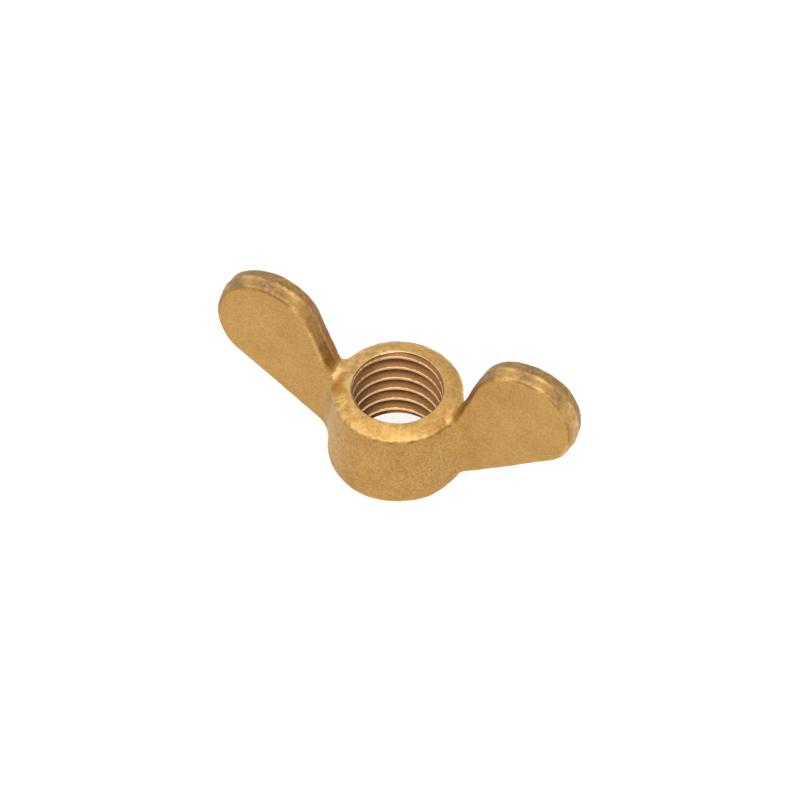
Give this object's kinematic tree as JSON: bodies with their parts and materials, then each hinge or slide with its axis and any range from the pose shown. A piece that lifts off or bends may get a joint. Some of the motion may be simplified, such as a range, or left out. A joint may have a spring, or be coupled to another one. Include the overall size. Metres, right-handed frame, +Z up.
{
  "type": "wing nut",
  "caption": "Forged brass wing nut: a tapered hub with a through thread between two flat round-tipped wings.",
  "frame": {"origin": "on the thread axis, in the plane of the base face that bears on the work", "axes": "+Z up the thread axis, from the base face to the hub's top; +X along one wing"},
  "size_m": [0.0364, 0.0134, 0.0177],
  "materials": {
    "wing_nut": "satin, as forged and tumbled"
  },
  "bodies": {
    "root": {"wing_nut": "wing_nut"}
  },
  "joints": []
}
